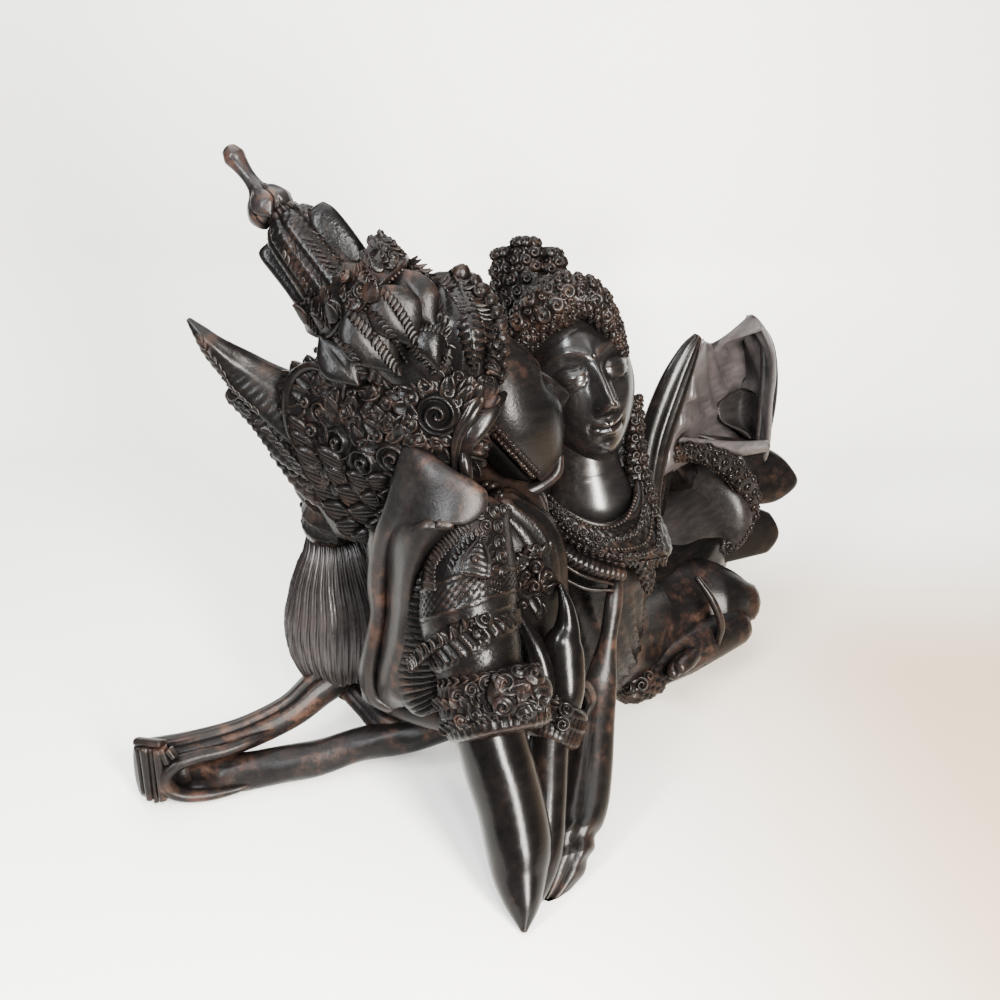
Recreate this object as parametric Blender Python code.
"""A reclining pair of lovers, carved in one piece from a block of ebony.

The pose is set out on the carver's bench: X runs across, Y away and Z up, as the work is seen from the end
where the two heads lean together. Its numbers are millimetres at the real size. The finished work is turned
about the upright so that its length lies along X, and stands on Z = 0.
"""

import math

import bmesh
import bpy
import numpy as np
from mathutils import Matrix

CARVING_HEIGHT = 0.2555  # from the table to the tip of the crown's finial, in metres
POSE_HEIGHT = 255.5  # the same height in the pose's own units
CLOTH_THICKNESS = 5.0  # of a shawl or a robe's edge, in the pose's units
LEAF_THICKNESS = 5.5  # of a crown's wing or a fin of cloth
TURN_OFF_BENCH = -51.0  # degrees about the upright, which lays the work's length along X
SKIN_CELL = CARVING_HEIGHT / 170  # how finely the forms are melted together
FOOT_CUT = CARVING_HEIGHT / 230  # how much of the underside is sawn off, so that the work stands flat
TRIANGLES = 8600

UP = np.array([0.0, 0.0, 1.0])
SIGHT = np.array([0.0, -0.93, 0.37])  # from the work towards the eye, which is what most ribbons face


def unit(v):
    """Each vector at length 1."""
    v = np.asarray(v, float)
    return v / np.maximum(np.linalg.norm(v, axis=-1, keepdims=True), 1e-9)


def smooth_rows(rows, count):
    """A Catmull-Rom curve through the rows, read at count even steps. Every column follows it alike."""
    rows = np.asarray(rows, float)
    spans = len(rows) - 1
    t = np.linspace(0, spans, count)
    i = np.minimum(t.astype(int), spans - 1)
    f = (t - i).reshape(-1, *[1] * (rows.ndim - 1))
    r = np.concatenate([[2 * rows[0] - rows[1]], rows, [2 * rows[-1] - rows[-2]]])
    a, b, c, d = r[i], r[i + 1], r[i + 2], r[i + 3]
    return 0.5 * (2 * b + (c - a) * f + (2 * a - 5 * b + 4 * c - d) * f**2 + (3 * b - a - 3 * c + d) * f**3)


def closed_tube(rings):
    """Rings of points as one closed skin, with a point at the middle of each end."""
    n, m = rings.shape[:2]
    points = np.concatenate([rings.reshape(-1, 3), rings[:1].mean(1), rings[-1:].mean(1)])
    i, j = np.meshgrid(np.arange(n - 1), np.arange(m), indexing="ij")
    k = (j + 1) % m
    quads = np.stack([i * m + j, (i + 1) * m + j, (i + 1) * m + k, i * m + k], -1).reshape(-1, 4)
    around = np.arange(m)
    after = (around + 1) % m
    start = np.stack([np.full(m, n * m), around, after], -1)
    last = (n - 1) * m
    end = np.stack([np.full(m, n * m + 1), last + after, last + around], -1)
    return points, quads.tolist() + start.tolist() + end.tolist()


def limb(rows, along=20, around=12, facing=SIGHT, power=2.0):
    """An oval section carried along a route. A row is x, y, z, half width, half thickness and roll."""
    rows = [tuple(r) + (r[3],) * (len(r) == 4) for r in rows]
    rows = [r + (0.0,) * (6 - len(r)) for r in rows]
    path = smooth_rows(rows, along)
    centre = path[:, :3]
    wide, thick = np.maximum(path[:, 3], 0.8), np.maximum(path[:, 4], 0.8)
    ahead = unit(np.gradient(centre, axis=0))
    front = unit(facing - (ahead @ facing)[:, None] * ahead)
    side = np.cross(ahead, front)
    roll = np.radians(path[:, 5])[:, None]
    side, front = side * np.cos(roll) + front * np.sin(roll), front * np.cos(roll) - side * np.sin(roll)
    turn = np.linspace(0, 2 * math.pi, around, endpoint=False)
    across = np.sign(np.cos(turn)) * abs(np.cos(turn)) ** (2 / power)
    through = np.sign(np.sin(turn)) * abs(np.sin(turn)) ** (2 / power)
    rings = (
        centre[:, None]
        + side[:, None] * (wide[:, None] * across)[..., None]
        + front[:, None] * (thick[:, None] * through)[..., None]
    )
    ends = []
    for ring, way, r in ((0, -1, min(wide[0], thick[0])), (-1, 1, min(wide[-1], thick[-1]))):
        push = 0.6 * r * way * ahead[ring]
        ends.append(centre[ring] + (rings[ring] - centre[ring]) * 0.7 + push)
    return closed_tube(np.concatenate([[ends[0]], rings, [ends[1]]]))


def cloth(grid, thick, along=20, across=10):
    """A thick sheet through a net of points, drawn out thin at its border."""
    net = smooth_rows(np.asarray(grid, float), along)
    net = smooth_rows(net.transpose(1, 0, 2), across).transpose(1, 0, 2)
    normal = unit(np.cross(np.gradient(net, axis=0), np.gradient(net, axis=1)))
    edge_u = np.minimum(1, 0.45 + np.minimum(np.arange(along), np.arange(along)[::-1]))
    edge_v = np.minimum(1, 0.45 + np.minimum(np.arange(across), np.arange(across)[::-1]))
    lift = normal * (thick / 2 * np.minimum.outer(edge_u, edge_v))[..., None]
    points = np.concatenate([(net + lift).reshape(-1, 3), (net - lift).reshape(-1, 3)])
    i, j = np.meshgrid(np.arange(along - 1), np.arange(across - 1), indexing="ij")
    at = i * across + j
    top = np.stack([at, at + across, at + across + 1, at + 1], -1).reshape(-1, 4)
    back = top[:, ::-1] + along * across
    ring = np.concatenate(
        [
            np.arange(across - 1),
            np.arange(along - 1) * across + across - 1,
            (along - 1) * across + np.arange(across - 1, 0, -1),
            np.arange(along - 1, 0, -1) * across,
        ]
    )
    after = np.roll(ring, -1)
    side = np.stack([ring, after, after + along * across, ring + along * across], -1)
    return points, top.tolist() + back.tolist() + side.tolist()


def frame_of(forward, up):
    """Right, forward and up as the rows of a turn, from a way to face and a rough way up."""
    forward = unit(forward)
    right = unit(np.cross(forward, up))
    return np.stack([right, forward, np.cross(right, forward)])


def egg(centre, radii, forward=(0, 1, 0), up=(0, 0, 1), rows=11, around=16):
    """An egg with half sizes right, forward and up."""
    lift = np.linspace(-math.pi / 2, math.pi / 2, rows + 2)[1:-1, None]
    turn = np.linspace(0, 2 * math.pi, around, endpoint=False)[None]
    local = np.stack([np.cos(lift) * np.cos(turn), np.cos(lift) * np.sin(turn), np.sin(lift) + 0 * turn],
        -1)
    return closed_tube(np.asarray(centre) + (local * radii) @ frame_of(forward, up))


def turned(foot, head, profile, around=14):
    """A profile of (share of the way, radius) turned about the line from foot to head."""
    foot, head = np.asarray(foot, float), np.asarray(head, float)
    rows = [tuple(foot + (head - foot) * s) + (r, r, 0) for s, r in profile]
    return limb(rows, along=3 * len(rows), around=around, facing=np.array([0.3, -0.9, -0.3]))


RAMA_FACING = (0.83, 0.46, 0.26)
RAMA_UP = (-0.27, -0.03, 0.96)
SITA_FACING = (0.56, -0.82, 0.03)
SITA_UP = (-0.2, 0.0, 0.98)


def rama_arm():
    upper = [
        (8, -141, 0, 1.8), (7, -139, 9, 7.7), (5, -134, 24, 10.9), (1, -125, 42, 12),
        (-3, -116, 61, 12.7), (-7, -107, 76, 14.2), (-9, -99, 92, 15), (-11, -92, 109, 15),
        (-11, -82, 128, 12.9),
    ]
    fore = [
        (11, -138, 3, 4.3), (14, -131, 13, 7.1), (16, -120, 21, 7.3), (17, -107, 34, 7.4),
        (18, -96, 46, 7.8), (21, -86, 57, 7.9), (23, -81, 67, 8.3),
    ]
    palm = [
        (23, -86, 57, 7.6, 4.5), (24, -82, 68, 8.3, 4.5), (25, -79, 76, 6.4, 4), (26, -76, 84, 4.5, 3.4),
        (24, -74, 93, 3, 2.8), (22, -72, 101, 1.5, 2.2),
    ]
    thumb = [(18, -84, 67, 3.4, 4), (17, -80, 75, 2.6, 3.6), (14, -77, 80, 2.3, 3), (10, -74, 87, 1.9, 2.6),
        (5, -72, 94, 1.1, 2.2)]
    band = [(-1, -114, 66, 18, 17), (-3, -109, 74, 18.8, 18), (-4, -105, 81, 16.7, 17)]
    wrist = [(18, -94, 48, 11.2, 9.5), (23, -87, 57, 10.2, 9.5)]
    sleeve = [(-8, -104, 84, 15.7, 16), (-11, -97, 99, 16.8, 18), (-11, -90, 115, 15.7, 18),
        (-9, -82, 131, 12.2, 15), (-5, -74, 140, 8, 12)]
    return [limb(upper), limb(fore), limb(palm), limb(thumb, 12), limb(band, 6), limb(wrist, 6),
        limb(sleeve, 12)]


def shoulder_shawl():
    net = [
        [(-34, -70, 153), (-32, -71, 155), (-29, -72, 155), (-26, -73, 154)],
        [(-36, -71, 146), (-31, -77, 150), (-25, -80, 151), (-17, -82, 148)],
        [(-40, -72, 134), (-32, -80, 139), (-21, -87, 143), (-6, -90, 146)],
        [(-45, -72, 123), (-35, -82, 131), (-21, -90, 136), (-6, -93, 137)],
        [(-48, -70, 112), (-39, -80, 120), (-27, -93, 132), (-17, -90, 125)],
        [(-50, -68, 98), (-42, -76, 103), (-31, -90, 115), (-27, -78, 102)],
        [(-50, -66, 83), (-42, -73, 87), (-33, -87, 93), (-28, -74, 78)],
        [(-54, -66, 65), (-46, -74, 69), (-37, -86, 75), (-29, -74, 60)],
        [(-54, -67, 51), (-46, -76, 54), (-39, -84, 57), (-27, -78, 53)],
        [(-44, -72, 45), (-39, -78, 48), (-34, -81, 50), (-23, -84, 56)],
    ]
    lining = limb([(-22, -84, 125, 9.3, 6), (-28, -78, 102, 9.6, 7), (-30, -76, 75, 9.9, 7),
        (-28, -78, 55, 9.2, 6)], 10, 8)
    return [cloth(net, CLOTH_THICKNESS, 24, 10), lining]


def hair_and_tails():
    hair = [
        (-66, -18, 111, 9.9, 9), (-68, -18, 100, 17.5, 14), (-66, -20, 82, 24.4, 18),
        (-64, -22, 65, 28, 20),
        (-64, -24, 49, 25.7, 19), (-65, -26, 35, 17.2, 13), (-64, -28, 28, 7.8, 7),
    ]
    tie = [(-60, -25, 125, 8.1, 9), (-70, -18, 108, 10.4, 11)]
    upper = [
        (-69, -28, 38, 8.6), (-77, -34, 34, 8.1), (-88, -42, 27, 7.2), (-106, -50, 22, 7.1),
        (-126, -56, 18, 7.4), (-144, -58, 15, 8.3),
    ]
    lower = [
        (-12, -50, 32, 7), (-33, -49, 21, 7.1), (-56, -50, 16, 7.1), (-79, -54, 11, 7.5),
        (-104, -57, 7, 7.9), (-126, -60, 4, 7.5), (-144, -60, 5, 8.3),
    ]
    cut_end = [(-132, -59, 13, 11, 9), (-143, -60, 11, 12.5, 10)]
    link = [(-66, -28, 32, 5.2), (-57, -36, 26, 5.1), (-49, -42, 22, 5.9), (-34, -48, 19, 6.3)]
    return [limb(hair), limb(tie, 5), limb(upper), limb(lower), limb(link, 8), limb(cut_end, 4)]


def rama_body():
    neck = [(-8, -50, 155, 15), (-1, -52, 131, 15), (2, -56, 116, 18)]
    chest = [(-3, -66, 133, 10, 9), (8, -62, 115, 16, 12), (9, -58, 92, 18, 14), (8, -52, 66, 20, 16),
        (8, -44, 34, 20, 16)]
    nape = [(-12, -42, 155, 22), (-34, -34, 143, 21), (-56, -26, 126, 18), (-68, -20, 106, 16)]
    flank = [(-32, -52, 118, 20, 18), (-34, -48, 90, 18, 18), (-28, -40, 62, 18, 18),
        (-12, -26, 38, 18, 18)]
    torso = [
        (0, -44, 131, 16, 30), (-4, -36, 116, 24, 42), (0, -16, 88, 29, 38), (14, 14, 62, 29, 30),
        (34, 44, 40, 29, 31), (52, 66, 33, 33, 34), (74, 90, 32, 34, 34), (96, 110, 36, 29, 32),
        (112, 124, 40, 16, 20),
    ]
    far_arm = [(2, -4, 122, 14), (18, 18, 106, 13), (34, 36, 86, 11), (47, 42, 68, 9.5), (56, 38, 56, 7)]
    thigh = [(48, 66, 46, 26, 24), (64, 86, 74, 20, 20), (77, 100, 100, 14, 14)]
    shin = [(77, 100, 100, 14, 14), (92, 116, 72, 15, 14), (106, 134, 36, 13, 12), (112, 142, 12, 11, 11),
        (96, 150, 5, 9, 6)]
    return [
        limb(neck, 8), limb(chest, 10), limb(nape, 8), limb(flank, 10), limb(torso, 18, 16, UP),
        limb(far_arm, 12), limb(thigh, 8),
        limb(shin, 12),
    ]


def rama_head():
    face = egg((-1, -52, 164), (17, 23, 27), RAMA_FACING, RAMA_UP)
    brow = limb([(0, -58, 182, 6, 6), (5, -52, 181, 5, 5), (9, -46, 176, 4, 5)], 6, 8)
    nose = limb([(12, -46, 176, 3, 4), (17, -40, 168, 3.5, 4), (19, -38, 163, 4, 4)], 6, 8)
    lips = limb([(15, -44, 157, 6, 6), (20, -38, 152, 4, 5), (19, -38, 148, 5, 5)], 6, 8)
    jaw = limb([(0, -50, 130, 6, 7), (10, -50, 135, 9, 9), (18, -43, 138, 7, 7)], 8, 8)
    dome = egg((-16, -50, 181), (30, 28, 25), RAMA_FACING, RAMA_UP)
    crest = [
        [(-33, -60, 221), (-28, -74, 202), (-25, -74, 174)],
        [(-25, -58, 214), (-18, -78, 203), (-15, -78, 176)],
        [(-13, -56, 217), (-8, -76, 201), (-6, -78, 179)],
        [(0, -54, 201), (1, -68, 192), (0, -72, 179)],
    ]
    crown = turned((-22, -58, 187), (-54, -58, 209), [(0, 25), (0.3, 22), (0.7, 18), (1, 15)])
    collar = turned((-45, -58, 199), (-58, -57, 213), [(0, 17), (0.5, 21.5), (1, 15)])
    drum = turned((-53, -58, 206), (-75, -50, 233), [(0, 15), (0.3, 13), (0.8, 12), (1, 8)])
    slab_high = limb([(-46, -56, 215, 5, 3), (-55, -54, 227, 5.5, 3), (-64, -52, 237, 4.5, 2.6)], 6, 8)
    slab_low = limb([(-64, -52, 197, 5, 3), (-75, -49, 210, 5, 3), (-84, -46, 223, 4.5, 2.6)], 6, 8)
    finial = turned(
        (-78, -49, 231), (-95, -38, 254),
        [(0, 4), (0.1, 6.6), (0.26, 7), (0.4, 4.8), (0.58, 2.9), (0.76, 3), (0.92, 4), (1, 3.2)],
    )
    spike = limb([
        (-58, -52, 156, 14.9, 4.5), (-75, -47, 167, 9.7, 4.2), (-89, -44, 176, 7.1, 3.6),
        (-101, -42, 185, 4.8, 3),
        (-110, -41, 191, 3, 2.4), (-116, -40, 195, 1.1, 1.6),
    ], 14, 8)
    feather = limb([(-60, -46, 137, 10, 4), (-77, -42, 149, 12.3, 3.4), (-90, -39, 159, 8.4, 3),
        (-103, -37, 166, 3.1, 2)], 10, 8)
    feather_low = limb([(-59, -42, 123, 8.6, 4), (-72, -40, 131, 7.8, 3.4), (-82, -38, 137, 4.7, 3),
        (-88, -37, 141, 1.9, 2)], 10, 8)
    wing = [
        [(-79, -47, 170), (-70, -52, 180), (-56, -60, 179), (-36, -68, 176), (-23, -66, 171)],
        [(-80, -46, 161), (-64, -56, 162), (-48, -68, 163), (-33, -78, 164), (-20, -74, 161)],
        [(-80, -43, 148), (-64, -54, 146), (-48, -68, 147), (-34, -78, 151), (-19, -72, 147)],
        [(-75, -40, 129), (-61, -50, 130), (-49, -62, 131), (-38, -70, 134), (-26, -64, 132)],
        [(-66, -38, 106), (-57, -44, 106), (-51, -50, 108), (-44, -56, 114), (-38, -54, 118)],
    ]
    ear_boss = egg((-22, -72, 168), (12, 6, 12), (0.3, 0.9, -0.2))
    blade = limb([(-51, -58, 176, 8, 4), (-60, -54, 180, 6, 3), (-70, -50, 182, 3, 2)], 6, 8)
    leaf = limb([(-11, -72, 150, 2.2, 3), (-8, -76, 163, 4.2, 3), (-4, -74, 172, 4.9, 3),
        (1, -70, 176, 2.1, 2.5)], 8, 8)
    return [
        face, brow, nose, lips, jaw, dome, cloth(crest, LEAF_THICKNESS, 14, 9), crown, collar, drum,
        slab_high, slab_low,
        finial, spike, feather, feather_low, cloth(wing, LEAF_THICKNESS, 14, 12), ear_boss, blade, leaf,
    ]


def sita_head():
    face = egg((31, -16, 159), (20.5, 25, 30), SITA_FACING, SITA_UP)
    nose = limb([(36, -38, 176, 3, 4), (39, -42, 170, 4, 5), (40, -44, 165, 5, 5)], 6, 8)
    chin = limb([(35, -32, 142, 8, 8), (41, -37, 141, 6, 6)], 6, 8)
    diadem = [
        (8, -18, 172, 7.1, 9), (11, -22, 186, 8.5, 10), (21, -26, 198, 9.5, 11), (33, -26, 199, 7.2, 9),
        (41, -22, 188, 4.6, 8), (46, -14, 175, 3.2, 7),
    ]
    plume = [
        limb([(16, -8, 182, 13, 9), (12, 0, 193, 12, 8), (11, 4, 205, 7, 6), (11, 6, 212, 5.5, 5)], 8, 10),
        limb([(9, 0, 185, 9, 8), (4, 6, 198, 7, 6), (2, 9, 209, 5, 5)], 8, 8),
        limb([(21, -2, 187, 9, 8), (21, 4, 198, 6.5, 6), (21, 7, 209, 4.5, 4)], 8, 8),
    ]
    back = egg((26, 2, 167), (20, 21, 24))
    cap = egg((26, -10, 180), (24, 22, 20))
    neck = [(32, -20, 140, 12, 12), (35, -20, 123, 12.5, 12), (38, -14, 103, 19, 15)]
    ear = limb([(55, -8, 153, 2.9, 4), (55, -10, 137, 3.7, 5), (57, -14, 121, 5, 6), (60, -18, 109, 5, 6)],
        8, 8)
    return [face, nose, chin, limb(diadem, 16, 10), *plume, back, cap, limb(neck, 8), ear]


def sita_body():
    chest = [(39, -12, 109, 21, 16), (40, -10, 89, 27, 20), (39, -6, 61, 25, 20), (41, 0, 33, 27, 22),
        (47, 16, 3, 28, 18)]
    collar_net = [
        [(16, -38, 127), (18, -42, 115), (22, -42, 104)],
        [(29, -43, 117), (31, -47, 110), (36, -46, 101)],
        [(43, -42, 114), (46, -44, 107), (52, -40, 95)],
        [(53, -30, 116), (59, -28, 104), (70, -20, 89)],
        [(53, -20, 127), (59, -14, 116), (65, -10, 103)],
    ]
    drop = limb([(57, -36, 97, 4.9, 3), (60, -34, 87, 3.7, 3), (61, -33, 79, 1.2, 2)], 6, 8)
    scarf = [
        (47, -40, 93, 2, 3), (46, -48, 82, 3.6, 3), (43, -54, 68, 3.6, 3.4), (41, -60, 53, 5.6, 4),
        (38, -70, 41, 7.9, 6),
        (34, -84, 29, 9.7, 7), (31, -97, 20, 10.3, 7), (27, -107, 14, 8.3, 7), (25, -114, 8, 8.2, 7),
        (21, -121, 2, 5.2, 5), (16, -126, -2, 2.2, 3),
    ]
    lap = [(46, 10, 33, 24, 20), (69, 45, 20, 28, 22), (95, 62, 24, 24, 18), (113, 62, 26, 18, 15),
        (124, 60, 27, 10, 9)]
    shin = [(117, 52, 18, 10), (100, 42, 15, 11), (84, 32, 12, 11), (69, 22, 10, 10), (56, 14, 8, 9)]
    anklet = [(69, 20, 8, 10.5), (60, 13, 9, 10.5)]
    return [limb(chest, 14), cloth(collar_net, LEAF_THICKNESS, 14, 8), drop, limb(scarf, 24, 10),
        limb(lap, 14), limb(shin, 12), limb(anklet, 4)]


def reclining_robe():
    hip = egg((105, 105, 58), (30, 30, 27), (0.63, 0.77, 0.0))
    saddle = [(70, 70, 54, 22, 22), (93, 95, 57, 24, 26), (116, 122, 54, 22, 26), (129, 135, 52, 12, 18)]
    horn = [
        (76, 62, 35, 6, 4), (73, 62, 60, 6.9, 4), (72, 64, 85, 6.8, 4), (74, 67, 110, 8.1, 4.4),
        (82, 71, 134, 7.6, 4), (89, 75, 150, 5.2, 3.4), (93, 77, 157, 2.4, 2.4),
    ]
    folds = [
        limb([(89, 92, 121, 4, 3), (107, 124, 114, 4, 3), (126, 142, 113, 3, 3)], 8, 8),
        limb([(88, 92, 112, 4, 3), (107, 122, 105, 4, 3), (125, 138, 105, 3, 3)], 8, 8),
        limb([(86, 92, 102, 4, 4), (107, 118, 97, 5, 4), (123, 132, 95, 3, 3)], 8, 8),
    ]
    hood = [
        [(94, 78, 157), (103, 115, 146), (113, 140, 136), (129, 166, 139), (136, 166, 148),
        (140, 148, 144)],
        [(92, 78, 145), (103, 118, 133), (116, 150, 122), (134, 172, 129), (142, 156, 136),
        (142, 130, 136)],
        [(89, 76, 133), (103, 118, 120), (117, 150, 109), (136, 170, 110), (145, 150, 120),
        (142, 122, 125)],
        [(86, 74, 122), (100, 116, 107), (116, 144, 98), (134, 158, 95), (142, 140, 105), (140, 116, 113)],
        [(81, 72, 105), (98, 108, 91), (114, 128, 83), (130, 136, 79), (139, 124, 85), (139, 110, 92)],
        [(75, 72, 82), (92, 112, 73), (110, 124, 65), (126, 130, 62), (135, 122, 66), (137, 112, 72)],
    ]
    fin_high = [
        [(98, 112, 98), (120, 116, 94), (140, 122, 87)],
        [(119, 108, 89), (139, 115, 84), (153, 120, 77)],
        [(125, 104, 75), (145, 112, 69), (158, 120, 68)],
        [(130, 102, 62), (139, 108, 60), (146, 112, 60)],
    ]
    fin_low = [
        [(124, 100, 66), (137, 107, 58), (145, 110, 55)],
        [(123, 98, 50), (137, 104, 46), (147, 108, 43)],
        [(111, 92, 32), (130, 100, 33), (147, 106, 36)],
    ]
    return [
        hip, limb(saddle, 10, 12), limb(horn, 14, 8), cloth(hood, CLOTH_THICKNESS, 16, 16),
        cloth(fin_high, LEAF_THICKNESS, 10, 8), cloth(fin_low, LEAF_THICKNESS, 8, 8), *folds,
    ]


def mesh_of(name, forms):
    """All the forms in one mesh, still overlapping, at the real size. None reaches below the table."""
    build = bmesh.new()
    size = CARVING_HEIGHT / POSE_HEIGHT
    for points, faces in forms:
        points = np.maximum(points, (-np.inf, -np.inf, 0.0)) * size
        made = [build.verts.new(p) for p in points]
        for face in faces:
            build.faces.new([made[i] for i in face])
    bmesh.ops.recalc_face_normals(build, faces=build.faces)
    mesh = bpy.data.meshes.new(name)
    build.to_mesh(mesh)
    build.free()
    mesh.transform(Matrix.Rotation(math.radians(TURN_OFF_BENCH), 4, "Z"))
    return mesh


def one_skin(work):
    """Melts the overlapping forms into one closed skin, and thins its triangles out."""
    for kind, values in (
        ("REMESH", {"mode": "VOXEL", "voxel_size": SKIN_CELL, "adaptivity": 0.0}),
        ("SMOOTH", {"factor": 0.5, "iterations": 3}),
    ):
        step = work.modifiers.new(kind, kind)
        for key, value in values.items():
            setattr(step, key, value)
    count = triangle_count(work)
    thin = work.modifiers.new("thin", "DECIMATE")
    thin.ratio = TRIANGLES / count
    skin = bpy.data.meshes.new_from_object(work.evaluated_get(bpy.context.evaluated_depsgraph_get()))
    work.modifiers.clear()
    work.data = skin


def triangle_count(work):
    """How many triangles the work has with its modifiers on."""
    bpy.context.view_layer.update()
    mesh = work.evaluated_get(bpy.context.evaluated_depsgraph_get()).to_mesh()
    return sum(len(p.vertices) - 2 for p in mesh.polygons)


def keep_the_body(build):
    """Drops every loose scrap and every bubble shut inside, which leaves the one outer skin."""
    left, bodies = set(build.verts), []
    while left:
        edge = [left.pop()]
        body = set(edge)
        while edge:
            near = {e.other_vert(v) for v in edge for e in v.link_edges} - body
            body |= near
            edge = list(near)
        left -= body
        bodies.append(body)
    biggest = max(bodies, key=len)
    bmesh.ops.delete(build, geom=[v for v in build.verts if v not in biggest], context="VERTS")


def stand_flat(work):
    """Saws the underside off level, closes the cuts, and centres the work over the origin on Z = 0."""
    build = bmesh.new()
    build.from_mesh(work.data)
    keep_the_body(build)
    level = min(v.co.z for v in build.verts) + FOOT_CUT
    everything = build.verts[:] + build.edges[:] + build.faces[:]
    bmesh.ops.bisect_plane(
        build, geom=everything, dist=1e-6, plane_co=(0, 0, level), plane_no=(0, 0, -1), clear_outer=True
    )
    bmesh.ops.holes_fill(build, edges=[e for e in build.edges if e.is_boundary], sides=0)
    bmesh.ops.remove_doubles(build, verts=build.verts, dist=CARVING_HEIGHT / 5000)
    bmesh.ops.triangulate(build, faces=build.faces)
    bmesh.ops.recalc_face_normals(build, faces=build.faces)
    points = np.array([v.co[:] for v in build.verts])
    middle = (points.min(0) + points.max(0)) / 2
    bmesh.ops.translate(build, verts=build.verts, vec=(-middle[0], -middle[1], -level))
    build.to_mesh(work.data)
    build.free()


def ebony():
    """Oiled ebony, almost black."""
    wood = bpy.data.materials.new("ebony")
    wood.use_nodes = True
    skin = wood.node_tree.nodes["Principled BSDF"]
    skin.inputs["Base Color"].default_value = (0.022, 0.016, 0.013, 1)
    skin.inputs["Roughness"].default_value = 0.38
    return wood


def main():
    for old in list(bpy.data.objects):
        bpy.data.objects.remove(old)
    forms = (
        rama_arm() + shoulder_shawl() + hair_and_tails() + rama_body() + rama_head() + sita_head()
        + sita_body() + reclining_robe()
    )
    work = bpy.data.objects.new("rama_and_sita_carving", mesh_of("rama_and_sita_carving", forms))
    bpy.context.scene.collection.objects.link(work)
    one_skin(work)
    stand_flat(work)
    work.data.materials.clear()
    work.data.materials.append(ebony())


main()
